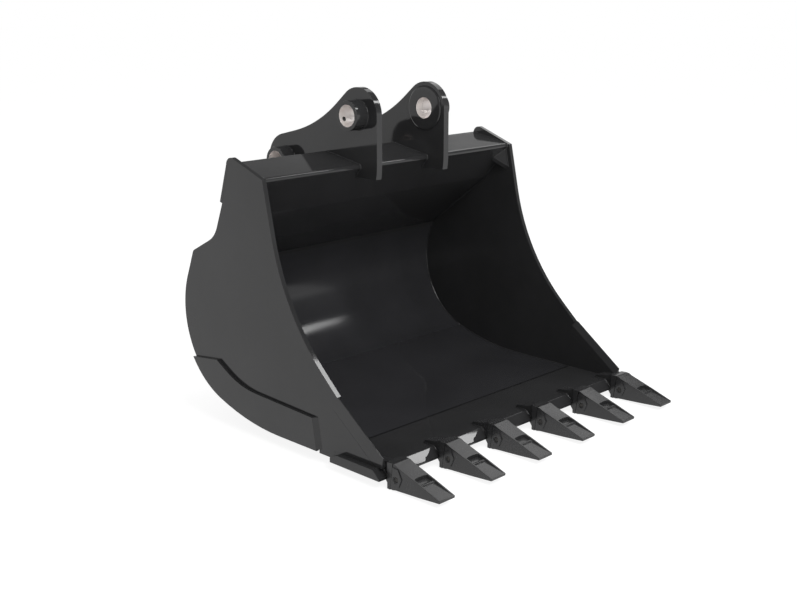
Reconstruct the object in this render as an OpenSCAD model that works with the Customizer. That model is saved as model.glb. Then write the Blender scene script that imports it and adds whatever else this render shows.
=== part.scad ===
// Digging bucket for a crawler excavator of the 25 to 30 tonne class.
// Millimetres, +Z up, X along the pins, the mouth and the teeth towards -Y.
// The origin is the centre of the stick pin.

/* [Bucket] */
// Width over the two side plates
bucket_w = 1500; // [1400:10:1700]
// Height of the mouth's top corner above the flat floor
mouth_h = 1018; // [1000:2:1040]
// Thickness of each side plate
side_t = 20; // [14:1:25]
// Thickness of the rolled shell
shell_t = 16; // [10:1:20]
// Rear end of the flat floor, back from the mouth's top corner
floor_end = -81; // [-110:1:-50]
// Radius of the long heel curve
heel_long_r = 1108; // [1090:1:1130]
// Radius of the short heel curve
heel_short_r = 371; // [366:1:376]
// Turn of the long heel curve in degrees
heel_long_turn = 20.1; // [19.5:0.1:20.6]
// Turn of the short heel curve in degrees
heel_short_turn = 94.8; // [93:0.1:96]
// Radius of the concave front edge of each side plate
throat_r = 930; // [850:5:960]
// Radius of the crest at the top rear of each side plate
crest_r = 32; // [20:1:33]
// Angle of the side plate's top edge in degrees
crest_slope = 20; // [18:0.5:21]

/* [Torque tube] */
// Thickness of the tube's bent plate
tube_t = 14; // [8:1:18]
// Thickness of the tube's rear plate
tube_rear_t = 16; // [10:1:20]
// Angle of the tube's top face in degrees
tube_slope = 10.4; // [8:0.2:12]
// Rounding of the tube's front edge
tube_nose_r = 12; // [6:1:18]
// Outer bend radius at the fold inside the bucket
tube_fold_r = 80; // [50:5:120]
// Lap of the shell up behind the tube's rear plate
lap = 60; // [40:1:90]

/* [Cutting edge] */
// Thickness of the cutting edge
lip_t = 38; // [34:1:42]
// Depth of the cutting edge from its rear to its front
lip_depth = 268; // [250:1:280]
// Standout of the cutting edge past each side plate
lip_over = 28; // [10:1:40]
// Length of the bevel on top of the cutting edge
lip_bevel = 33; // [28:1:38]
// Height of the blunt front land
lip_land = 9; // [7:1:12]
// Width of the wear strip behind the cutting edge
under_w = 90; // [60:1:110]
// Thickness of the wear strip behind the cutting edge
under_t = 14; // [8:1:18]

/* [Side cutters] */
// Width of each side cutter bar
cutter_w = 60; // [45:1:70]
// Depth of the bevel along each side cutter
cutter_bevel = 26; // [15:1:32]
// Width of the blunt edge that the bevel leaves
cutter_land = 4; // [3:1:8]

/* [Hanger] */
// Spacing of the two hanger ears, centre to centre
ear_pitch = 402; // [360:2:440]
// Thickness of each ear
ear_t = 30; // [25:1:40]
// Radius of the ear round the stick pin
stick_knuckle_r = 112.5; // [105:0.5:118]
// Radius of the ear round the link pin
link_knuckle_r = 116; // [108:0.5:122]
// Fore and aft distance between the two pins
pin_run = 462; // [450:1:475]
// Height of the stick pin above the link pin
pin_drop = 232; // [222:1:242]
// Radius of both pin bores
pin_bore_r = 45; // [40:0.5:50]
// Outer radius of each pin boss
boss_r = 62; // [58:0.5:70]
// Length of each pin boss
boss_l = 62; // [45:1:75]
// Diameter of the hole for the pin's stop bolt
stop_d = 18; // [12:1:22]
// Radius of each thrust pad
pad_r = 96; // [80:1:100]
// Thickness of each thrust pad
pad_t = 8; // [5:1:10]

/* [Wear parts] */
// Thickness of each heel wear band
band_t = 14; // [8:1:18]
// Standout of the heel wear band past the side plate's edge
band_proud = 4; // [2:0.5:6]
// Height of the heel wear band's front end
band_h = 128; // [110:1:150]
// Number of wear strips under the floor
strip_n = 3; // [2:1:4]
// Width of each wear strip
strip_w = 70; // [50:1:90]
// Thickness of each wear strip
strip_t = 12; // [8:1:16]
// Thickness of the corner gussets
gusset_t = 12; // [8:1:14]

/* [Teeth] */
// Width of each tooth
tooth_w = 82; // [78:1:84]
// Width of the adapter's strap on the cutting edge
strap_w = 50; // [44:1:50]
// Length of the tooth tip from the adapter's collar to its edge
tip_l = 242; // [225:1:260]
// Height of the tip at the collar
tip_h = 104; // [100:1:108]
// Height of the tip's blunt edge
tip_edge = 9; // [6:1:12]
// Droop of the teeth in degrees
tooth_droop = 7; // [5:0.5:9]
// Length of the adapter's nose
nose_l = 88; // [80:1:92]
// Height of the nose at its root
nose_root_h = 70; // [62:1:72]
// Height of the nose's flat end
nose_end_h = 38; // [32:1:40]
// Width of the nose at its root
nose_root_w = 60; // [52:1:60]
// Width of the nose at its end
nose_end_w = 50; // [42:1:52]
// Clearance of the tip on the nose
nose_gap = 0.3; // [0.2:0.05:0.5]
// Diameter of the tooth pin
tooth_pin_d = 20; // [16:0.5:21]
// Outer diameter of the retaining ring
ring_d = 36; // [32:0.5:38]
// Thickness of the retaining ring
ring_t = 8; // [6:0.5:9]

/* [Hidden] */

paint = "#2b2c2e";
worn = "#3c3d40";
bare = "#b9b6b2";

// Fineness of the drawn curves
arc_angle = 3;
$fn = 96;

// One overrun for every cut
over = 60;
// Fit of pieces that are set in place and not welded face to face
fit_gap = 0.3;

// Places on the side profile, back from the mouth's top corner and up from the flat floor
throat_y = -109;
throat_z = 513;
shoulder_y = 469;
shoulder_z = 670;
shoulder_r = 20;
waist_y = 316;
waist_z = 750;
waist_r = 123;
rear_foot_y = 273;
rear_foot_z = 900;
rear_lean = 17.7;
fold_y = 142;
fold_z = 848;
inner_foot_turn = 28.8;

// Places of the cutting edge and the side cutters
lip_rear = -395;
lip_rise = 20;
lip_end_drop = 19;
lip_end_run = 37;
cutter_top_y = -423;
cutter_top_z = 235;
cutter_low_z = 62;
cutter_clear = 5;
cutter_toe = 8;
cutter_step = 12;
cutter_step_angle = 20;

// Places of the hanger ears
stick_y = 28;
stick_z = 1225;
ear_top_slope = 40;
ear_rear_slope = 14;
ear_top_r = 680;
ear_hook_z = 1030;
ear_foot_z = 966;
ear_hook_r = 400;
ear_tail_slope = 45;
stop_tilt = 21.8;
stop_off = 37;
pad_rim_run = 8;
pad_rim_rise = 4;

// Places of the wear bands and strips
band_front = -282;
band_rake = 21;
band_slope = 2.2;
band_bend_y = 167;
band_rise_angle = 29;
band_bend_r = 420;
band_tail_y = 317;
band_cut_y = 484;
band_cut_z = 207;
strip_gap = 4;
strip_end_share = 0.7;

// Places of the corner gussets, down the corner and out from it
gusset_start = 29;
gusset_run = 51;
gusset_side = 66;
gusset_in = 50;

// Places on the teeth, ahead of the collar and off the middle line
collar_l = 32.5;
collar_z = 5;
collar_low = 3;
tip_gap = 3;
chamfer_start = 12;
chamfer_end = 28;
chamfer_drop = 5.5;
crest_u = 143;
crest_half = 25;
recess_u = 104;
recess_end = 236;
recess_bow_r = 150;
recess_half = 7;
recess_draft_share = 0.2;
rail_w = 7;
cheek_t = 4;
cheek_shares = [[0.04, 0.385], [0.3, 0.385], [0.52, 0.08], [0.42, -0.27], [0.19, -0.42], [0.04, -0.42]];
pin_u = 26;
pin_w = -4;
pin_gap = 0.3;
pin_recess = 4;
pin_chamfer = 1.5;
pin_mouth_d = 28;
pin_mouth_t = 3;
groove_d = 15;
ring_sink = 1.5;
ring_split = 11;
nose_flat_u = 70;
nose_sink = 10;
socket_end_gap = 0.3;
strap_l = 93;
strap_step_l = 79;
strap_step_h = 14;
strap_mid_l = 23;
strap_mid_h = 22;
strap_front_l = 2;
strap_front_h = 34;
strap_end_r = 18;
lump_front_l = 5;
lump_low = 30;
lump_rear_l = 15;
lump_rear_low = 4;
lump_end_l = 23;
tooth_n = 6;

half_w = bucket_w / 2;
inner_w = half_w - side_t;
ear_in = (ear_pitch - ear_t) / 2;
ear_out = (ear_pitch + ear_t) / 2;
lip_front = lip_rear - lip_depth;
lip_low = lip_rise - lip_t;
tooth_pitch = (2 * inner_w - strap_w - 2 * fit_gap) / (tooth_n - 1);

function dir(a) = [cos(a), sin(a)];
function left_of(v) = [-v[1], v[0]];
function unit(v) = v / norm(v);
function heading(v) = atan2(v[1], v[0]);
// Where the line through p with heading a crosses the line through q with heading b
function meet(p, a, q, b) = p + dir(a) * cross(q - p, dir(b)) / cross(dir(a), dir(b));
// Points along an arc
function arc(c, r, a0, a1) =
    let (n = max(2, ceil(abs(a1 - a0) / arc_angle)))
    [for (i = [0 : n]) c + r * dir(a0 + (a1 - a0) * i / n)];
// Points of a rounded corner at b between a and c
function corner(a, b, c, r) =
    let (u = unit(a - b), v = unit(c - b))
    let (h = acos(u * v) / 2, m = b + unit(u + v) * r / sin(h))
    let (s = heading(b + u * r / tan(h) - m), e = heading(b + v * r / tan(h) - m))
    let (turn = e - s > 180 ? e - s - 360 : (e - s < -180 ? e - s + 360 : e - s))
    arc(m, r, s, s + turn);
// A path moved sideways, to its left when d is positive
function side_step(path, d) =
    let (last = len(path) - 1)
    [for (i = [0 : last])
        let (a = unit(path[max(i, 1)] - path[max(i, 1) - 1]))
        let (b = unit(path[min(i, last - 1) + 1] - path[min(i, last - 1)]))
        path[i] + left_of(a + b) * d / (1 + a * b)];
function turned(path) = [for (i = [len(path) - 1 : -1 : 0]) path[i]];
function part_of(path, i, j) = [for (k = [i : j]) path[k]];

// Side profile, walked from the cutting edge under the floor and up the back
heel_long_c = [floor_end, heel_long_r];
heel_short_c = heel_long_c + (heel_long_r - heel_short_r) * dir(heel_long_turn - 90);
heel_turn = heel_long_turn + heel_short_turn;
floor_path = concat([[lip_rear, 0]], arc(heel_long_c, heel_long_r, -90, heel_long_turn - 90));
heel_path = arc(heel_short_c, heel_short_r, heel_long_turn - 90, heel_turn - 90);
heel_top = heel_path[len(heel_path) - 1];
shoulder = [shoulder_y, shoulder_z];
waist = [waist_y, waist_z];
mouth_top = [0, mouth_h];
rear_foot = [rear_foot_y, rear_foot_z];
rear_dir = dir(90 + rear_lean);
rear_in = rear_foot + left_of(rear_dir) * tube_rear_t;
rear_top = meet(mouth_top, tube_slope, rear_foot, 90 + rear_lean);
rear_top_in = meet(mouth_top, tube_slope, rear_in, 90 + rear_lean);
crest = meet(mouth_top, crest_slope, rear_foot, 90 + rear_lean);
wrap_path = concat(
    floor_path,
    part_of(heel_path, 1, len(heel_path) - 1),
    corner(heel_top, shoulder, waist, shoulder_r),
    corner(shoulder, waist, rear_in, waist_r),
    [rear_in, rear_in + rear_dir * lap]);
wrap_inner = side_step(wrap_path, shell_t);
floor_last = len(floor_path) - 1;
heel_last = floor_last + len(heel_path) - 1;
wrap_last = len(wrap_path) - 1;

// Front edge of the side plate, and the cutter bar on it
throat = [throat_y, throat_z];
cutter_top = [cutter_top_y, cutter_top_z];
cutter_low = [lip_front + cutter_clear, cutter_low_z];
cutter_nose = [lip_front + cutter_clear + cutter_toe, lip_rise];
cutter_dir = unit(cutter_low - cutter_top);
cutter_back = cutter_top + left_of(cutter_dir) * cutter_w;
cutter_seat = meet(cutter_back, heading(cutter_dir), [0, lip_rise], 0);
cutter_len = norm(cutter_low - cutter_top);
edge_foot = cutter_top + dir(cutter_step_angle) * cutter_step;

// Torque tube, walked forward over its top, round its front edge and down to the shell
fold = [fold_y, fold_z];
inner_foot = heel_short_c + (heel_short_r - shell_t) * dir(inner_foot_turn);
top_turn = 180 + tube_slope;
front_turn = heading(fold - mouth_top);
inner_turn = heading(inner_foot - fold);
tube_start = mouth_top - dir(top_turn) * (norm(rear_top - mouth_top) + over);
tube_end = inner_foot + dir(inner_turn) * over;
nose_in = meet(mouth_top + left_of(dir(top_turn)) * tube_t, top_turn,
    mouth_top + left_of(dir(front_turn)) * tube_t, front_turn);
fold_in = meet(fold + left_of(dir(front_turn)) * tube_t, front_turn,
    fold + left_of(dir(inner_turn)) * tube_t, inner_turn);
tube_face = concat(
    [tube_start],
    corner(tube_start, mouth_top, fold, tube_nose_r),
    corner(mouth_top, fold, tube_end, tube_fold_r),
    [tube_end]);
tube_back = concat(
    [tube_start + left_of(dir(top_turn)) * tube_t, nose_in],
    corner(nose_in, fold_in, tube_end + left_of(dir(inner_turn)) * tube_t, tube_fold_r - tube_t),
    [tube_end + left_of(dir(inner_turn)) * tube_t]);

// Hanger ear
stick_pin = [stick_y, stick_z];
link_pin = [stick_y + pin_run, stick_z - pin_drop];
ear_hook_turn = asin((ear_hook_z - ear_foot_z) / ear_hook_r);
ear_hook_c = [stick_y - stick_knuckle_r + ear_hook_r, ear_hook_z];
ear_tip = stick_pin + stick_knuckle_r * dir(90 - ear_top_slope);
ear_tail = link_pin + link_knuckle_r * dir(90 - ear_rear_slope);
ear_bend = meet(ear_tip, -ear_top_slope, ear_tail, -ear_rear_slope);
ear_heel = link_pin + link_knuckle_r * dir(-ear_tail_slope);
shoulder_turn = heading(waist - shoulder);
ear_land = meet(ear_heel, -90 - ear_tail_slope, shoulder, shoulder_turn);

// Heel wear band
band_top = [band_front, band_h];
band_bend = meet(band_top, band_slope, [band_bend_y, 0], 90);
band_tail = meet(band_bend, band_rise_angle, [band_tail_y, 0], 90);
band_cut = [band_cut_y, band_cut_z];
band_foot = band_top + unit([-band_rake, -band_h]) * (band_h + over);

// Wear strips under the floor
strip_last = floor_last + round((heel_last - floor_last) * strip_end_share);
strip_path = concat([[lip_rear + under_w + strip_gap, 0]], part_of(wrap_path, 1, strip_last));

// Teeth, drawn ahead of the collar (u) and up from the middle line (w)
collar = [lip_front - collar_l, collar_z];
function uw(u, w) = [-u, w];
function placed(u, w) = collar - dir(tooth_droop) * u + left_of(dir(tooth_droop)) * w;
function tip_top(u) =
    u < crest_u
    ? crest_half + (tip_h / 2 - chamfer_drop - crest_half) * (crest_u - u) / (crest_u - chamfer_end)
    : crest_half - (crest_half - tip_edge / 2) * (u - crest_u) / (tip_l - crest_u);
face_slope = atan2(crest_half - tip_edge / 2, tip_l - crest_u);
function tooth_x(i) = (i - (tooth_n + 1) / 2) * tooth_pitch;
nose_half_at_pin = nose_root_w / 2 - (nose_root_w - nose_end_w) / 2 * pin_u / nose_l;
ring_x = ring_sink - nose_half_at_pin;
pin_half_l = tooth_w / 2 + cheek_t - pin_recess;

module across(x0, x1) {
    translate([x0, 0, 0])
        rotate([90, 0, 90])
            linear_extrude(height = x1 - x0)
                children();
}

// A round bar along X
module bar(r, x0, x1, p) {
    translate([x0, p[0], p[1]])
        rotate([0, 90, 0])
            cylinder(r = r, h = x1 - x0);
}

// Moves what is drawn from the mouth's corner onto the stick pin
module on_pin() {
    translate([0, -stick_y, -stick_z])
        children();
}

// Draws the left side as it is and the right side as its mirror image
module side(s) {
    mirror([s > 0 ? 1 : 0, 0, 0])
        children();
}

module side_outline() {
    polygon(concat(
        [[lip_rear, lip_rise]],
        part_of(wrap_path, 0, wrap_last - 1),
        [rear_top_in, rear_top],
        corner(rear_top, crest, mouth_top, crest_r),
        [mouth_top],
        corner(mouth_top, throat, edge_foot, throat_r),
        [edge_foot, cutter_back, cutter_seat]));
}

module side_plate(s) {
    color(paint)
        on_pin()
            side(s)
                across(-half_w, -inner_w)
                    side_outline();
}

// The bar is bevelled on its inner side, so that its edge lies in the outer face
module side_cutter(s) {
    color(worn)
        on_pin()
            side(s)
                difference() {
                    across(-half_w, -inner_w)
                        polygon([edge_foot, cutter_top, cutter_low, cutter_nose, cutter_seat, cutter_back]);
                    translate([0, cutter_top[0], cutter_top[1]])
                        rotate([heading(left_of(cutter_dir)), 0, 0])
                            translate([0, 0, -cutter_len - over])
                                linear_extrude(height = cutter_len + 2 * over)
                                    polygon([
                                        [cutter_land - half_w, -over],
                                        [cutter_land - half_w, 0],
                                        [-inner_w, cutter_bevel],
                                        [over - inner_w, cutter_bevel],
                                        [over - inner_w, -over]]);
                }
}

module lip_outline() {
    polygon([
        [lip_rear, lip_low],
        [lip_rear, lip_rise],
        [lip_front + lip_bevel, lip_rise],
        [lip_front, lip_low + lip_land],
        [lip_front, lip_low]]);
}

module cutting_edge() {
    color(worn)
        on_pin()
            difference() {
                across(-half_w - lip_over, half_w + lip_over)
                    lip_outline();
                for (s = [-1, 1])
                    side(s)
                        across(-half_w - lip_over - over, -half_w)
                            polygon([
                                [lip_rear - lip_end_run, lip_rise],
                                [lip_rear, lip_rise - lip_end_drop],
                                [lip_rear + over, lip_rise - lip_end_drop],
                                [lip_rear + over, lip_rise + over],
                                [lip_rear - lip_end_run, lip_rise + over]]);
            }
}

module under_plate() {
    color(paint)
        on_pin()
            translate([-half_w, lip_rear, -under_t])
                cube([bucket_w, under_w, under_t]);
}

module shell_outline(i, j) {
    polygon(concat(part_of(wrap_path, i, j), turned(part_of(wrap_inner, i, j))));
}

module shell_piece(i, j) {
    color(paint)
        on_pin()
            across(-inner_w, inner_w)
                shell_outline(i, j);
}

// The bent plate over the tube, cut to the rear plate at its top and to the shell at its foot
module tube_plate() {
    color(paint)
        on_pin()
            across(-inner_w, inner_w)
                intersection() {
                    polygon(concat(tube_face, turned(tube_back)));
                    polygon(concat(
                        wrap_inner,
                        [rear_in + rear_dir * lap],
                        [rear_top_in + rear_dir * over],
                        [[lip_rear, mouth_h + over]]));
                }
}

module tube_rear_plate() {
    color(paint)
        on_pin()
            across(-half_w, half_w)
                polygon([rear_foot, rear_top, rear_top_in, rear_in]);
}

// A three-cornered plate set across the corner of the side plate and the tube's front
module corner_gusset(s) {
    down = unit(fold - mouth_top);
    out = -left_of(down);
    skew = unit(cross(
        [0, gusset_run * down[0] + gusset_side * out[0], gusset_run * down[1] + gusset_side * out[1]],
        [gusset_in, gusset_run * down[0], gusset_run * down[1]]));
    slide = gusset_t / abs(skew * [0, down[0], down[1]]);
    top = mouth_top + down * gusset_start;
    low = top + down * gusset_run;
    face = [
        [-inner_w, top[0], top[1]],
        [-inner_w, low[0] + out[0] * gusset_side, low[1] + out[1] * gusset_side],
        [gusset_in - inner_w, low[0], low[1]]];
    step = [0, down[0], down[1]] * slide;
    color(paint)
        on_pin()
            side(s)
                polyhedron(
                    points = concat(face, [for (p = face) p + step]),
                    faces = [[0, 1, 2], [5, 4, 3], [1, 0, 3, 4], [2, 1, 4, 5], [0, 2, 5, 3]]);
}

module ear_outline() {
    inward = left_of(dir(shoulder_turn)) * shell_t;
    difference() {
        polygon(concat(
            arc(stick_pin, stick_knuckle_r, 180, 90 - ear_top_slope),
            corner(ear_tip, ear_bend, ear_tail, ear_top_r),
            arc(link_pin, link_knuckle_r, 90 - ear_rear_slope, -ear_tail_slope),
            [ear_land, ear_land + inward, waist, (waist + rear_in + fold) / 3, [fold_y, ear_foot_z]],
            arc(ear_hook_c, ear_hook_r, 180 + ear_hook_turn, 180)));
        // What the ear sits astride: the tube, its rear plate and the back of the shell
        polygon(concat(
            [rear_top_in, for (i = [1 : len(tube_face) - 2]) tube_face[i]],
            [inner_foot],
            part_of(wrap_path, heel_last, wrap_last - 1),
            [rear_foot, rear_top]));
        shell_outline(heel_last, wrap_last);
    }
}

module hanger_ear(s) {
    color(paint)
        on_pin()
            side(s)
                difference() {
                    across(-ear_out, -ear_in)
                        ear_outline();
                    bar(pin_bore_r, -ear_out - over, over - ear_in, stick_pin);
                    bar(pin_bore_r, -ear_out - over, over - ear_in, link_pin);
                }
}

// The left bosses have a hole for the bolt that stops the pin
module boss(s, p, stop) {
    color(paint)
        on_pin()
            side(s)
                difference() {
                    bar(boss_r, -ear_out - boss_l, -ear_out, p);
                    bar(pin_bore_r, -ear_out - boss_l - over, over - ear_out, p);
                    if (stop)
                        translate([-ear_out - stop_off, p[0], p[1]])
                            rotate([-90 - stop_tilt, 0, 0])
                                cylinder(d = stop_d, h = boss_r + over);
                }
}

// A bored disc with a bevelled rim
module thrust_pad(s) {
    color(paint)
        on_pin()
            side(s)
                translate([-ear_in, stick_pin[0], stick_pin[1]])
                    rotate([0, 90, 0])
                        rotate_extrude()
                            polygon([
                                [pin_bore_r, 0],
                                [pad_r, 0],
                                [pad_r, pad_t - pad_rim_rise],
                                [pad_r - pad_rim_run, pad_t],
                                [pin_bore_r, pad_t]]);
}

module heel_band(s) {
    color(paint)
        on_pin()
            side(s)
                across(-half_w - band_t, -half_w)
                    intersection() {
                        polygon(concat(
                            part_of(side_step(wrap_path, -band_proud), 0, heel_last),
                            [mouth_top]));
                        polygon(concat(
                            [band_top],
                            corner(band_top, band_bend, band_tail, band_bend_r),
                            [band_tail, band_cut + unit(band_cut - band_tail) * over],
                            [[band_cut_y + over, -over], band_foot]));
                    }
}

module floor_strips() {
    color(paint)
        on_pin()
            for (k = [1 : strip_n])
                translate([inner_w * (2 * k / (strip_n + 1) - 1), 0, 0])
                    across(-strip_w / 2, strip_w / 2)
                        polygon(concat(strip_path, turned(side_step(strip_path, -strip_t))));
}

// The frame of tooth i, tilted down by the droop
module at_tooth(i) {
    on_pin()
        translate([tooth_x(i), collar[0], collar[1]])
            rotate([tooth_droop, 0, 0])
                children();
}

// The tapered nose with its flat end, or the socket for it when grown by a gap
module nose_form(gap, end_gap, root) {
    root_h = nose_root_h / 2 + gap;
    end_h = nose_end_h / 2 + gap;
    root_w = nose_root_w / 2 + gap;
    end_w = nose_end_w / 2 + gap;
    intersection() {
        across(-root_w, root_w)
            polygon([
                uw(-root, root_h), uw(0, root_h), uw(nose_flat_u, end_h), uw(nose_l + end_gap, end_h),
                uw(nose_l + end_gap, -end_h), uw(nose_flat_u, -end_h), uw(0, -root_h), uw(-root, -root_h)]);
        translate([0, 0, -nose_root_h])
            linear_extrude(height = 2 * nose_root_h)
                polygon([
                    [-root_w, root], [-root_w, 0], [-end_w, -nose_l - end_gap],
                    [end_w, -nose_l - end_gap], [root_w, 0], [root_w, root]]);
    }
}

module tip_outline() {
    polygon([
        uw(tip_gap, tip_h / 2),
        uw(chamfer_start, tip_h / 2),
        uw(chamfer_end, tip_top(chamfer_end)),
        uw(crest_u, tip_top(crest_u)),
        uw(tip_l, tip_edge / 2),
        uw(tip_l, -tip_edge / 2),
        uw(crest_u, -tip_top(crest_u)),
        uw(chamfer_end, -tip_top(chamfer_end)),
        uw(chamfer_start, -tip_h / 2),
        uw(tip_gap, -tip_h / 2)]);
}

// The hollow in the tip's face: a bowed back, leaning side walls and a floor that runs out ahead
module tip_recess() {
    half = tooth_w / 2 - rail_w;
    lean = recess_draft_share * tip_h;
    intersection() {
        across(-tooth_w, tooth_w)
            polygon([
                uw(recess_u, recess_half),
                uw(recess_end, tip_top(recess_end)),
                uw(recess_end, tip_h),
                uw(recess_u, tip_h)]);
        translate([0, -recess_u - recess_bow_r, 0])
            cylinder(r = recess_bow_r, h = tip_h);
        translate([0, -crest_u, crest_half])
            rotate([90 + face_slope, 0, 0])
                linear_extrude(height = 2 * tip_l, center = true)
                    polygon([
                        [lean - half, -tip_h], [half - lean, -tip_h],
                        [half + lean, tip_h], [-half - lean, tip_h]]);
    }
}

module tooth_tip(i) {
    half = tooth_w / 2;
    color(worn)
        at_tooth(i)
            difference() {
                union() {
                    across(-half, half)
                        tip_outline();
                    across(-half - cheek_t, half + cheek_t)
                        polygon([for (q = cheek_shares) uw(q[0] * tip_h, q[1] * tip_h)]);
                }
                nose_form(nose_gap, socket_end_gap, 0);
                bar(tooth_pin_d / 2 + pin_gap, -half - over, half + over, uw(pin_u, pin_w));
                for (s = [-1, 1])
                    side(s)
                        bar(pin_mouth_d / 2, -half - over, pin_mouth_t - half - cheek_t, uw(pin_u, pin_w));
                for (s = [0, 1])
                    mirror([0, 0, s])
                        tip_recess();
            }
}

module adapter_outline() {
    polygon([
        [lip_front + strap_l, lip_rise],
        [lip_front + strap_step_l, lip_rise + strap_step_h],
        [lip_front + strap_mid_l, lip_rise + strap_mid_h],
        [lip_front - strap_front_l, lip_rise + strap_front_h],
        placed(0, tip_h / 2),
        placed(0, -tip_h / 2 - collar_low),
        [lip_front - lump_front_l, lip_low - lump_low],
        [lip_front + lump_rear_l, lip_low - lump_rear_low],
        [lip_front + lump_end_l, lip_low],
        [lip_front, lip_low],
        [lip_front, lip_low + lip_land],
        [lip_front + lip_bevel, lip_rise]]);
}

// Seen from above: a wide collar, hollow waists and a round-ended strap
module adapter_plan() {
    half = tooth_w / 2;
    thin = strap_w / 2;
    waist_end = lip_front + cutter_clear - fit_gap;
    strap_end = lip_front + strap_l;
    edge = concat(
        [[half, collar[0] - over]],
        arc([half, waist_end], half - thin, 270, 180),
        corner([thin, waist_end], [thin, strap_end], [0, strap_end], strap_end_r));
    polygon(concat(edge, [for (p = turned(edge)) [-p[0], p[1]]]));
}

module tooth_adapter(i) {
    color(paint)
        difference() {
            union() {
                on_pin()
                    translate([tooth_x(i), 0, 0])
                        intersection() {
                            across(-tooth_w / 2, tooth_w / 2)
                                adapter_outline();
                            translate([0, 0, -tip_h])
                                linear_extrude(height = 2 * tip_h)
                                    adapter_plan();
                        }
                at_tooth(i)
                    nose_form(0, 0, nose_sink);
            }
            at_tooth(i) {
                bar(tooth_pin_d / 2 + pin_gap, -tooth_w, tooth_w, uw(pin_u, pin_w));
                bar(ring_d / 2 + pin_gap, -tooth_w, ring_x + ring_t + pin_gap, uw(pin_u, pin_w));
            }
        }
}

module tooth_pin(i) {
    r = tooth_pin_d / 2;
    color(bare)
        at_tooth(i)
            translate([0, -pin_u, pin_w])
                rotate([0, 90, 0])
                    rotate_extrude()
                        polygon([
                            [0, -pin_half_l],
                            [r - pin_chamfer, -pin_half_l],
                            [r, pin_chamfer - pin_half_l],
                            [r, ring_x - pin_gap],
                            [groove_d / 2, ring_x - pin_gap],
                            [groove_d / 2, ring_x + ring_t + pin_gap],
                            [r, ring_x + ring_t + pin_gap],
                            [r, pin_half_l - pin_chamfer],
                            [r - pin_chamfer, pin_half_l],
                            [0, pin_half_l]]);
}

// The open ring that snaps into the pin's groove and lies in the nose's seat
module tooth_retainer(i) {
    color(bare)
        at_tooth(i)
            difference() {
                bar(ring_d / 2, ring_x, ring_x + ring_t, uw(pin_u, pin_w));
                bar(groove_d / 2 + pin_gap, ring_x - over, ring_x + ring_t + over, uw(pin_u, pin_w));
                translate([ring_x - over, -pin_u - ring_split / 2, pin_w])
                    cube([ring_t + 2 * over, ring_split, ring_d]);
            }
}

side_plate(-1);  // side_plate_left
side_plate(1);  // side_plate_right
side_cutter(-1);  // side_cutter_left
side_cutter(1);  // side_cutter_right
cutting_edge();
under_plate();
shell_piece(0, floor_last);  // shell_floor
shell_piece(floor_last, heel_last);  // shell_heel
shell_piece(heel_last, wrap_last);  // shell_back
tube_plate();
tube_rear_plate();
corner_gusset(-1);  // corner_gusset_left
corner_gusset(1);  // corner_gusset_right
hanger_ear(-1);  // hanger_ear_left
hanger_ear(1);  // hanger_ear_right
boss(-1, stick_pin, true);  // stick_boss_left
boss(1, stick_pin, false);  // stick_boss_right
boss(-1, link_pin, true);  // link_boss_left
boss(1, link_pin, false);  // link_boss_right
thrust_pad(-1);  // thrust_pad_left
thrust_pad(1);  // thrust_pad_right
heel_band(-1);  // heel_band_left
heel_band(1);  // heel_band_right
floor_strips();
tooth_adapter(1);  // tooth_adapter_1
tooth_adapter(2);  // tooth_adapter_2
tooth_adapter(3);  // tooth_adapter_3
tooth_adapter(4);  // tooth_adapter_4
tooth_adapter(5);  // tooth_adapter_5
tooth_adapter(6);  // tooth_adapter_6
tooth_tip(1);  // tooth_tip_1
tooth_tip(2);  // tooth_tip_2
tooth_tip(3);  // tooth_tip_3
tooth_tip(4);  // tooth_tip_4
tooth_tip(5);  // tooth_tip_5
tooth_tip(6);  // tooth_tip_6
tooth_pin(1);  // tooth_pin_1
tooth_pin(2);  // tooth_pin_2
tooth_pin(3);  // tooth_pin_3
tooth_pin(4);  // tooth_pin_4
tooth_pin(5);  // tooth_pin_5
tooth_pin(6);  // tooth_pin_6
tooth_retainer(1);  // tooth_retainer_1
tooth_retainer(2);  // tooth_retainer_2
tooth_retainer(3);  // tooth_retainer_3
tooth_retainer(4);  // tooth_retainer_4
tooth_retainer(5);  // tooth_retainer_5
tooth_retainer(6);  // tooth_retainer_6
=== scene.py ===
import math

import bmesh
import bpy
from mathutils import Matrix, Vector
from mathutils.bvhtree import BVHTree


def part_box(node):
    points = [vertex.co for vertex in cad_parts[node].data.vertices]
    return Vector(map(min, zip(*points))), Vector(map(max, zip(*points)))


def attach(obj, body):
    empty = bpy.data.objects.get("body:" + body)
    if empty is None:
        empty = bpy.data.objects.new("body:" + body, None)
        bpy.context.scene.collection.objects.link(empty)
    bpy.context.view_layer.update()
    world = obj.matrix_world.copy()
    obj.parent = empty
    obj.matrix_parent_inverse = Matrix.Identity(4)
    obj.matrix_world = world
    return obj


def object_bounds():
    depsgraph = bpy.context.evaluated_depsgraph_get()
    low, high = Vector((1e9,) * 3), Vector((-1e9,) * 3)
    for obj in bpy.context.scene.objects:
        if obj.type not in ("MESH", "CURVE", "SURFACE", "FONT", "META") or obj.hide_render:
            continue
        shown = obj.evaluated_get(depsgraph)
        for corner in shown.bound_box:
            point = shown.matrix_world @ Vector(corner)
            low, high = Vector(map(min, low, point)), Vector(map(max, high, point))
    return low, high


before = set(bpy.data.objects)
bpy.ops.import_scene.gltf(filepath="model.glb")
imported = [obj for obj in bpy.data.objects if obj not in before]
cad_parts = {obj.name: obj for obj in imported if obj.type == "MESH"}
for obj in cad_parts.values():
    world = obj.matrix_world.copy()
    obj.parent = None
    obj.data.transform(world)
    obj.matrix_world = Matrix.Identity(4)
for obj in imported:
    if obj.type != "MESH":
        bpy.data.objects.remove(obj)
cad_low, cad_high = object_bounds()

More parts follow.
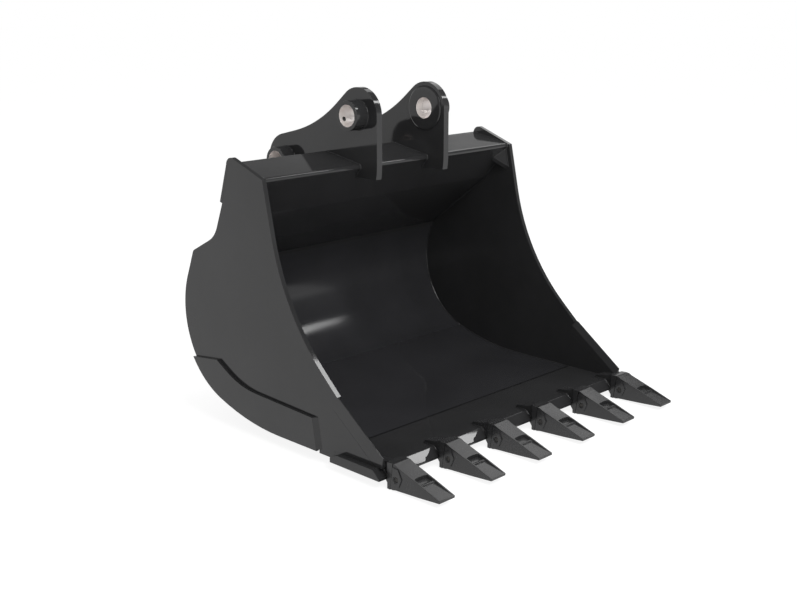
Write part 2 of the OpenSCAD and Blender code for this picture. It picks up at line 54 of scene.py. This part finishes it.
# Places in the row frame, in metres: X along the pins, the mouth towards -Y
SIDES = ("left", "right")
PIN_R = 0.045
# Y and Z of the two pins
STICK_PIN = (0.0, 0.0)
LINK_PIN = (0.462, -0.232)
LIP_LOW, LIP_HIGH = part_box("cutting_edge")
# The joint between the cutting edge and the floor
SEAM_Y = LIP_HIGH.y
# Width of the dark band painted on the floor along that joint, a painted shadow of the lip's rear step
JOINT_SHADE_WIDTH = 0.013
# Ahead of this place the heel bands have only their front ends
BAND_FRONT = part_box("heel_band_left")[0].y + 0.06

# Meshes: points closer than JOIN are one, and an edge with more turn than SHARP is an edge
JOIN = 0.00002
SHARP = math.radians(28)
# A weld runs where an edge lies on its neighbour to within TOUCH
TOUCH = 0.0006
BEAD_STEP = 0.0045
BEAD_SIDES = 8
BEAD_END = 0.45
FILLET_LEG = 0.022

# Teeth, the same sizes as in the solids
TEETH = range(1, 7)
DROOP = math.radians(7)
COLLAR_L = 0.0325
COLLAR_BELOW_LIP = 0.015
# Y and Z of the middle of a collar's front
COLLAR = (LIP_LOW.y - COLLAR_L, LIP_HIGH.z - COLLAR_BELOW_LIP)
WEB_HALF = 0.0345
# Profile of a web: the hollow's bottom, the bridge's crest and the floor that runs out ahead
WEB = [(0.104, 0.0175), (0.130, 0.0155), (0.137, 0.0212), (0.143, 0.0212), (0.149, 0.0158),
       (0.237, 0.0052), (0.237, 0.003), (0.104, 0.003)]

# Grey levels of the black paint, where it is darker and lighter
PAINT_LOW = 0.026
PAINT_HIGH = 0.032

# Levels of light, where 1 is white
WORLD_LEVEL = 0.5
CEILING = 0.10
FRONT_DIM = 0.25
FLOOR_IN_MIRRORS = 0.85
SHADOW_SHARE = 0.25
SHADOW_FREE = 0.5

FLOOR_SIZE = 80
# Where the photograph was taken from
CAMERA_AZIMUTH = -45.283
CAMERA_ELEVATION = 14.613
CAMERA_PLACE = (-3.6235, -3.6104, 0.5299)
CAMERA_LENS = 54.2
# Place, aim, width and height in metres, and watts of each lamp
LAMPS = {
    "key": ((-0.8, -4.0, 3.2), (0.0, 0.0, -0.7), (3.0, 2.4), 165),
    "top": ((0.0, -1.0, 5.0), (0.0, 0.0, -0.6), (2.5, 1.2), 40),
    "strip": ((3.18, -2.13, 2.95), (-0.1, 0.0, 0.0), (0.52, 1.9), 26),
    "rear_right": ((3.5, 1.1, 2.3), (-0.6, -0.6, -1.0), (2.5, 2.1), 22),
}


# Materials

class Nodes:
    """Builds the nodes of one material or world, socket by socket."""

    def __init__(self, owner):
        self.owner = owner
        owner.use_nodes = True
        self.tree = owner.node_tree
        self.tree.nodes.clear()
        self.place = self.add("ShaderNodeTexCoord").outputs["Object"]

    def add(self, kind, **settings):
        node = self.tree.nodes.new(kind)
        for key, value in settings.items():
            setattr(node, key, value)
        return node

    def link(self, value, socket):
        if isinstance(value, bpy.types.NodeSocket):
            self.tree.links.new(value, socket)
        else:
            socket.default_value = value

    def noise(self, scale, detail=3.0, rough=0.5, place=None):
        node = self.add("ShaderNodeTexNoise")
        self.link(place or self.place, node.inputs["Vector"])
        node.inputs["Scale"].default_value = scale
        node.inputs["Detail"].default_value = detail
        node.inputs["Roughness"].default_value = rough
        return node.outputs["Fac"]

    def stretch(self, scale):
        node = self.add("ShaderNodeMapping")
        self.link(self.place, node.inputs["Vector"])
        node.inputs["Scale"].default_value = scale
        return node.outputs["Vector"]

    def ramp(self, value, low, high, out_low=0.0, out_high=1.0):
        node = self.add("ShaderNodeMapRange")
        node.clamp = True
        for key, item in (("Value", value), ("From Min", low), ("From Max", high),
                          ("To Min", out_low), ("To Max", out_high)):
            self.link(item, node.inputs[key])
        return node.outputs["Result"]

    def math(self, operation, a, b=0.0):
        node = self.add("ShaderNodeMath", operation=operation)
        self.link(a, node.inputs[0])
        self.link(b, node.inputs[1])
        return node.outputs[0]

    def mix(self, factor, a, b):
        node = self.add("ShaderNodeMix", data_type="RGBA")
        self.link(factor, node.inputs["Factor"])
        self.link(a, node.inputs["A"])
        self.link(b, node.inputs["B"])
        return node.outputs["Result"]

    def mix_value(self, factor, a, b):
        node = self.add("ShaderNodeMix", data_type="FLOAT")
        self.link(factor, node.inputs["Factor"])
        self.link(a, node.inputs["A"])
        self.link(b, node.inputs["B"])
        return node.outputs["Result"]

    def bump(self, height, distance, strength=1.0, normal=None):
        node = self.add("ShaderNodeBump")
        self.link(height, node.inputs["Height"])
        node.inputs["Distance"].default_value = distance
        node.inputs["Strength"].default_value = strength
        if normal is not None:
            self.link(normal, node.inputs["Normal"])
        return node.outputs["Normal"]

    def edge(self, radius):
        """1 along sharp edges, 0 on flat faces."""
        bevel = self.add("ShaderNodeBevel", samples=4)
        bevel.inputs["Radius"].default_value = radius
        geometry = self.add("ShaderNodeNewGeometry")
        dot = self.add("ShaderNodeVectorMath", operation="DOT_PRODUCT")
        self.link(bevel.outputs["Normal"], dot.inputs[0])
        self.link(geometry.outputs["Normal"], dot.inputs[1])
        return self.math("SUBTRACT", 1.0, dot.outputs["Value"])

    def within(self, centre, radius):
        """1 inside a round bar along X, 0 outside it."""
        parts = self.add("ShaderNodeSeparateXYZ")
        self.link(self.place, parts.inputs[0])
        dy = self.math("SUBTRACT", parts.outputs["Y"], centre[0])
        dz = self.math("SUBTRACT", parts.outputs["Z"], centre[1])
        square = self.math("ADD", self.math("MULTIPLY", dy, dy), self.math("MULTIPLY", dz, dz))
        return self.math("LESS_THAN", square, radius * radius)

    def band(self, start, width):
        """1 in a strip across the bucket that starts at a place on Y, 0 elsewhere."""
        parts = self.add("ShaderNodeSeparateXYZ")
        self.link(self.place, parts.inputs[0])
        after = self.math("GREATER_THAN", parts.outputs["Y"], start)
        return self.math("MULTIPLY", after, self.math("LESS_THAN", parts.outputs["Y"], start + width))

    def principled(self, **inputs):
        node = self.add("ShaderNodeBsdfPrincipled")
        for key, value in inputs.items():
            self.link(value, node.inputs[key.replace("_", " ")])
        return node.outputs["BSDF"]

    def output(self, shader, kind="ShaderNodeOutputMaterial"):
        node = self.add(kind)
        self.link(shader, node.inputs["Surface"])
        return self.owner


def material_nodes(name):
    return Nodes(bpy.data.materials.new(name))


def bare_steel(n):
    """Turned steel: fine rings along X, a warm tint and a soft sheen."""
    rings = n.noise(60.0, 2.0, 0.5, n.stretch((60.0, 1.0, 1.0)))
    tint = n.mix(n.ramp(n.noise(18.0), 0.35, 0.65), (0.88, 0.82, 0.79, 1), (0.95, 0.91, 0.89, 1))
    return n.principled(
        Base_Color=tint, Metallic=0.6,
        Roughness=n.ramp(rings, 0.3, 0.7, 0.40, 0.54),
        Normal=n.bump(rings, 0.00004, 0.6))


def painted(name, low, high, gloss, peel=0.00006, bores=False, grain=0.0, joint_shade=False,
            blue=1.03, shine=0.5):
    """Black gloss paint over plate: orange peel, a slow change of gloss, and a painted highlight that
    lightens the sharp edges in patches.
    """
    n = material_nodes(name)
    cloud = n.noise(3.0, 4.0, 0.55)
    fine = n.noise(240.0, 2.0, 0.5)
    slow = n.noise(26.0, 3.0, 0.5)
    colour = n.mix(n.ramp(cloud, 0.35, 0.65), (low, low, low * blue, 1), (high, high, high * blue, 1))
    patchy = n.ramp(n.noise(45.0, 4.0, 0.6), 0.42, 0.62)
    # Painted highlight: sharp edges are lightened towards grey in patches, standing in for light
    # caught on the edges
    painted_edge_highlight = n.math("MULTIPLY", n.ramp(n.edge(0.0022), 0.02, 0.22), patchy)
    colour = n.mix(n.math("MULTIPLY", painted_edge_highlight, 0.35), colour, (0.10, 0.10, 0.10, 1))
    rough = n.ramp(n.math("ADD", n.math("MULTIPLY", cloud, 0.6), n.math("MULTIPLY", fine, 0.4)),
                   0.35, 0.65, gloss * 0.7, gloss * 1.4)
    normal = n.bump(fine, peel, 0.5)
    normal = n.bump(slow, peel * 5, 0.35, normal)
    if grain:
        normal = n.bump(n.noise(700.0, 3.0, 0.6), grain, 0.8, normal)
    # Painted shadow: a dark band with little shine is painted on the floor just behind the cutting
    # edge's rear step
    if joint_shade:
        joint_shade_band = n.band(SEAM_Y, JOINT_SHADE_WIDTH)
        colour = n.mix(joint_shade_band, colour, (0.005, 0.005, 0.005, 1))
        shine = n.mix_value(joint_shade_band, shine, 0.12)
    coat = n.principled(Base_Color=colour, Roughness=rough, Specular_IOR_Level=shine, Normal=normal)
    if bores:
        bore = PIN_R + 0.0006
        inside = n.math("MAXIMUM", n.within(STICK_PIN, bore), n.within(LINK_PIN, bore))
        both = n.add("ShaderNodeMixShader")
        n.link(inside, both.inputs[0])
        n.link(coat, both.inputs[1])
        n.link(bare_steel(n), both.inputs[2])
        return n.output(both.outputs[0])
    return n.output(coat)


def pin_steel():
    n = material_nodes("pin_steel")
    scale = n.ramp(n.noise(90.0, 4.0, 0.6), 0.4, 0.62)
    colour = n.mix(scale, (0.035, 0.034, 0.033, 1), (0.09, 0.085, 0.08, 1))
    return n.output(n.principled(
        Base_Color=colour, Metallic=0.7, Roughness=n.ramp(scale, 0.0, 1.0, 0.42, 0.6),
        Normal=n.bump(n.noise(320.0, 3.0), 0.0001, 0.5)))


PLATE = painted("plate_paint", PAINT_LOW, PAINT_HIGH, 0.07)
# The floor's paint carries the painted shadow line behind the cutting edge
FLOOR_PLATE = painted("floor_paint", PAINT_LOW, PAINT_HIGH, 0.07, joint_shade=True, blue=1.08)
HEEL = painted("heel_paint", 0.028, 0.034, 0.13, blue=1.08, shine=0.36)
BORED = painted("bored_paint", PAINT_LOW, PAINT_HIGH, 0.07, bores=True)
EDGE = painted("edge_paint", PAINT_LOW, PAINT_HIGH, 0.04, peel=0.000008)
WEAR = painted("wear_paint", PAINT_LOW, 0.034, 0.11)
CAST = painted("cast_paint", 0.028, 0.038, 0.22, peel=0.0001, grain=0.00008)
PIN = pin_steel()

# Edge rounding of each kind of piece, in metres
KINDS = {
    "tooth_tip": (CAST, 0.0032),
    "tooth_adapter": (CAST, 0.0025),
    "tooth_pin": (PIN, 0.0),
    "tooth_retainer": (PIN, 0.0),
    "cutting_edge": (EDGE, 0.0015),
    "side_cutter": (WEAR, 0.0012),
    "heel_band": (WEAR, 0.002),
    "under_plate": (WEAR, 0.0015),
    "floor_strips": (WEAR, 0.002),
    "hanger_ear": (BORED, 0.003),
    "stick_boss": (BORED, 0.0025),
    "link_boss": (BORED, 0.0025),
    "thrust_pad": (BORED, 0.002),
    "side_plate": (PLATE, 0.0025),
    "corner_gusset": (PLATE, 0.0015),
    "shell_floor": (FLOOR_PLATE, 0.0),
    "shell_heel": (HEEL, 0.0),
    "shell": (PLATE, 0.0),
    "tube": (PLATE, 0.0015),
}


def rounded(piece, width):
    """Rounds the sharp edges and keeps flat faces flat in the shading."""
    if width:
        bevel = piece.modifiers.new("edge", "BEVEL")
        bevel.width = width
        bevel.segments = 2
        bevel.limit_method = "ANGLE"
        bevel.angle_limit = SHARP
        bevel.use_clamp_overlap = True
        bevel.harden_normals = False
    split = piece.modifiers.new("split", "EDGE_SPLIT")
    split.split_angle = SHARP
    if width:
        piece.modifiers.new("shade", "WEIGHTED_NORMAL").keep_sharp = True


def dress(name, node):
    """Gives a CAD node its material and its rounded edges."""
    material, rounding = next(v for k, v in KINDS.items() if name.startswith(k))
    node.data.materials.clear()
    node.data.materials.append(material)
    for face in node.data.polygons:
        face.use_smooth = True
    custom = node.data.attributes.get("custom_normal")
    if custom is not None:
        node.data.attributes.remove(custom)
    weld = node.modifiers.new("weld", "WELD")
    weld.merge_threshold = JOIN
    rounded(node, rounding)


for node_name, cad_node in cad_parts.items():
    dress(node_name, cad_node)


# Weld beads

def weld_paint():
    """The same black paint over the ripple of a weld."""
    n = material_nodes("weld_paint")
    ripple = n.noise(260.0, 2.0, 0.4)
    cloud = n.ramp(n.noise(14.0), 0.35, 0.65)
    return n.output(n.principled(
        Base_Color=n.mix(cloud, (0.024, 0.024, 0.025, 1), (0.034, 0.034, 0.035, 1)),
        Roughness=n.ramp(ripple, 0.3, 0.7, 0.12, 0.3),
        Normal=n.bump(ripple, 0.0006, 0.5)))


WELD = weld_paint()


def surface(name):
    """A joined copy of a node's mesh."""
    mesh = bmesh.new()
    mesh.from_mesh(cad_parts[name].data)
    bmesh.ops.remove_doubles(mesh, verts=mesh.verts, dist=JOIN)
    return mesh


def meeting_edges(one, other, keep):
    """The sharp edges of one node that lie on the surface of another."""
    mesh = surface(one)
    target = surface(other)
    tree = BVHTree.FromBMesh(target)
    found = []
    for edge in mesh.edges:
        if len(edge.link_faces) != 2 or edge.calc_face_angle() < SHARP:
            continue
        ends = [v.co.copy() for v in edge.verts]
        spots = ends + [(ends[0] + ends[1]) / 2]
        if all(tree.find_nearest(p)[3] < TOUCH for p in spots) and keep(spots[2]):
            found.append(ends)
    mesh.free()
    target.free()
    return found


def spot(p):
    """The place of a point to a tenth of a millimetre."""
    return tuple(round(c, 4) for c in p)


def chains(edges):
    """Joins loose edges end to end into paths."""
    at = {}
    for i, ends in enumerate(edges):
        for p in ends:
            at.setdefault(spot(p), []).append(i)
    used = set()
    paths = []
    for first in range(len(edges)):
        if first in used:
            continue
        used.add(first)
        path = list(edges[first])
        for _ in range(2):
            while True:
                near = [i for i in at[spot(path[-1])] if i not in used]
                if not near:
                    break
                a, b = edges[near[0]]
                used.add(near[0])
                path.append(b if spot(a) == spot(path[-1]) else a)
            path.reverse()
        paths.append(path)
    return paths


def resampled(path, step):
    """Points at even spacing along a path."""
    out = [path[0].copy()]
    left = step
    for a, b in zip(path, path[1:]):
        length = (b - a).length
        if length < 1e-7:
            continue
        run = left
        while run < length:
            out.append(a + (b - a) * (run / length))
            run += step
        left = run - length
    if (path[-1] - out[-1]).length > step * 0.3:
        out.append(path[-1].copy())
    return out


def ahead_at(points, i):
    """The direction of a path at one of its points."""
    return (points[min(i + 1, len(points) - 1)] - points[max(i - 1, 0)]).normalized()


def tube(mesh, rings):
    """Closes a row of rings of points into one solid."""
    rows = [[mesh.verts.new(p) for p in ring] for ring in rings]
    for a, b in zip(rows, rows[1:]):
        for k in range(len(a)):
            m = (k + 1) % len(a)
            mesh.faces.new((a[k], a[m], b[m], b[k]))
    mesh.faces.new(rows[0])
    mesh.faces.new(rows[-1])


def bead(mesh, path, radius):
    """A round run along a path, with the slow swell and fine ripple of a hand-laid weld."""
    turn = [2 * math.pi * k / BEAD_SIDES for k in range(BEAD_SIDES)]
    points = resampled(path, BEAD_STEP)
    if len(points) < 3:
        return
    closed = (path[0] - path[-1]).length < 1e-4
    rings = []
    for i, p in enumerate(points):
        ahead = ahead_at(points, i)
        side = ahead.cross(Vector((0.31, 0.52, 0.79))).normalized()
        up = ahead.cross(side)
        swell = 1.0 + 0.07 * math.sin(i * 0.37 + radius * 900) + (0.07 if i % 2 else -0.02)
        if not closed and i in (0, len(points) - 1):
            swell = BEAD_END
        rings.append([p + (side * math.cos(t) + up * math.sin(t)) * radius * swell for t in turn])
    tube(mesh, rings)


def piece_from(mesh, name, material):
    """Turns a bmesh into a piece of the bucket."""
    bmesh.ops.recalc_face_normals(mesh, faces=mesh.faces)
    data = bpy.data.meshes.new(name)
    mesh.to_mesh(data)
    mesh.free()
    for face in data.polygons:
        face.use_smooth = True
    piece = bpy.data.objects.new(name, data)
    bpy.context.collection.objects.link(piece)
    data.materials.append(material)
    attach(piece, "root")
    return piece


def welds(name, pairs, radius, keep=lambda p: True):
    """One piece with the beads of all the given pairs of nodes."""
    mesh = bmesh.new()
    for one, other in pairs:
        for path in chains(meeting_edges(one, other, keep)):
            bead(mesh, path, radius)
    piece_from(mesh, name, WELD)


def band_end_welds():
    """Flat fillets that run the front ends of the heel bands out onto the side plates."""
    mesh = bmesh.new()
    for corner, s in enumerate(SIDES):
        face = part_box(f"side_plate_{s}")[corner].x
        rise = Vector(((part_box(f"heel_band_{s}")[corner].x - face) * 0.94, 0, 0))
        front = [v.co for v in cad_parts[f"heel_band_{s}"].data.vertices if v.co.y < BAND_FRONT]
        bottom = min(front, key=lambda p: p.z)
        top = max(front, key=lambda p: p.z)
        up = Vector((0, top.y - bottom.y, top.z - bottom.z)).normalized()
        run = Vector((0, -up.z, up.y)) * FILLET_LEG
        rings = []
        for end in (bottom + up * FILLET_LEG * 0.3, top):
            p = Vector((face, end.y, end.z))
            rings.append([p - run * 0.1, p + run, p + rise, p + rise - run * 0.1])
        tube(mesh, rings)
    rounded(piece_from(mesh, "band_end_welds", WEAR), 0.0)


def off_pin(p):
    """True away from both pins' bores."""
    from_stick = math.hypot(p.y - STICK_PIN[0], p.z - STICK_PIN[1])
    from_link = math.hypot(p.y - LINK_PIN[0], p.z - LINK_PIN[1])
    return min(from_stick, from_link) > PIN_R + 0.006


BOSSES = [(f"{pin}_boss_{s}", f"hanger_ear_{s}") for pin in ("stick", "link") for s in SIDES]
EAR_FEET = [(f"hanger_ear_{s}", other) for s in SIDES
            for other in ("tube_plate", "tube_rear_plate", "shell_back")]
TUBE_ENDS = [("tube_plate", f"side_plate_{s}") for s in SIDES]
SHELL_ENDS = [(piece, f"side_plate_{s}") for s in SIDES
              for piece in ("shell_floor", "shell_heel", "shell_back")]
GUSSETS = [(f"corner_gusset_{s}", other) for s in SIDES
           for other in ("tube_plate", f"side_plate_{s}")]
ADAPTERS = [(f"tooth_adapter_{i}", "cutting_edge") for i in TEETH]

welds("boss_welds", BOSSES, 0.0028, off_pin)
welds("ear_welds", EAR_FEET, 0.0032)
welds("tube_welds", TUBE_ENDS + [("tube_plate", "shell_heel")], 0.004)
welds("shell_welds", SHELL_ENDS, 0.004)
welds("gusset_welds", GUSSETS, 0.003)
welds("adapter_welds", ADAPTERS, 0.004)
band_end_welds()


# Webs in the tips' hollows

def on_tooth(x, u, w):
    """A place on a tooth: ahead of the collar, and up from its middle line."""
    c, s = math.cos(DROOP), math.sin(DROOP)
    return Vector((x, COLLAR[0] - c * u - s * w, COLLAR[1] - s * u + c * w))


def tip_web(i):
    """The cast bridge and the sloping floor ahead of it, in both faces of one tip."""
    low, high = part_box(f"tooth_tip_{i}")
    middle = (low.x + high.x) / 2
    mesh = bmesh.new()
    for face in (1, -1):
        rings = [[on_tooth(middle + side * WEB_HALF, u, face * w) for u, w in WEB] for side in (-1, 1)]
        tube(mesh, rings)
    rounded(piece_from(mesh, f"tip_web_{i}", CAST), 0.0016)


for tooth in TEETH:
    tip_web(tooth)


# Floor, light and camera

def mirror_rays(n):
    """1 for rays that a shiny or clear surface sends out, 0 for others."""
    rays = n.add("ShaderNodeLightPath")
    return n.math("MAXIMUM", rays.outputs["Is Glossy Ray"], rays.outputs["Is Transmission Ray"])


def floor_white():
    """White with a faint shadow to the camera, near white in reflections, plain and pale otherwise."""
    n = material_nodes("floor_white")
    seen = n.add("ShaderNodeLightPath").outputs["Is Camera Ray"]
    matt = n.add("ShaderNodeBsdfDiffuse")
    shaded = (SHADOW_SHARE, SHADOW_SHARE, SHADOW_SHARE, 1)
    n.link(n.mix(seen, (0.8, 0.8, 0.8, 1), shaded), matt.inputs["Color"])
    glow = n.add("ShaderNodeEmission")
    n.link(n.math("MULTIPLY", seen, 1.0 - SHADOW_SHARE * SHADOW_FREE), glow.inputs["Strength"])
    plain = n.add("ShaderNodeAddShader")
    n.link(matt.outputs[0], plain.inputs[0])
    n.link(glow.outputs[0], plain.inputs[1])
    bright = n.add("ShaderNodeEmission")
    n.link(FLOOR_IN_MIRRORS, bright.inputs["Strength"])
    both = n.add("ShaderNodeMixShader")
    n.link(mirror_rays(n), both.inputs[0])
    n.link(plain.outputs[0], both.inputs[1])
    n.link(bright.outputs[0], both.inputs[2])
    return n.output(both.outputs[0])


def studio_floor():
    bpy.ops.mesh.primitive_plane_add(size=FLOOR_SIZE, location=(0, 0, cad_low.z))
    floor = bpy.context.object
    floor.name = "floor"
    floor.data.materials.append(floor_white())


def studio_world():
    """White behind the object. Reflections show a white horizon under a dim ceiling."""
    n = Nodes(bpy.data.worlds.new("studio"))
    parts = n.add("ShaderNodeSeparateXYZ")
    n.link(n.add("ShaderNodeTexCoord").outputs["Generated"], parts.inputs[0])
    height = parts.outputs["Z"]
    rear = n.ramp(parts.outputs["Y"], -0.3, 0.4, FRONT_DIM, 1.0)
    above = n.math("MULTIPLY", n.ramp(height, 0.12, 0.45, 1.0, CEILING), rear)
    ceiling = n.mix_value(n.ramp(height, 0.02, 0.14), 1.0, above)
    seen = n.add("ShaderNodeLightPath").outputs["Is Camera Ray"]
    strength = n.mix_value(mirror_rays(n), WORLD_LEVEL, ceiling)
    strength = n.mix_value(seen, strength, 1.0)
    sky = n.add("ShaderNodeBackground")
    sky.inputs["Color"].default_value = (1, 1, 1, 1)
    n.link(strength, sky.inputs["Strength"])
    return n.output(sky.outputs[0], "ShaderNodeOutputWorld")


def softbox(name, place, aim, size, power):
    light = bpy.data.lights.new(name, "AREA")
    light.shape = "RECTANGLE"
    light.size, light.size_y = size
    light.energy = power
    lamp = bpy.data.objects.new(name, light)
    bpy.context.collection.objects.link(lamp)
    lamp.location = place
    lamp.rotation_mode = "QUATERNION"
    lamp.rotation_quaternion = (Vector(aim) - Vector(place)).to_track_quat("-Z", "Y")


def studio_camera():
    data = bpy.data.cameras.new("camera")
    data.sensor_width = 36.0
    data.lens = CAMERA_LENS
    data.clip_end = 100
    camera = bpy.data.objects.new("camera", data)
    bpy.context.collection.objects.link(camera)
    camera.location = CAMERA_PLACE
    camera.rotation_euler = (math.radians(90 - CAMERA_ELEVATION), 0, math.radians(CAMERA_AZIMUTH))
    bpy.context.scene.camera = camera


studio_floor()
bpy.context.scene.world = studio_world()
for lamp_name, values in LAMPS.items():
    softbox(lamp_name, *values)
studio_camera()
bpy.context.scene.view_settings.view_transform = "Standard"
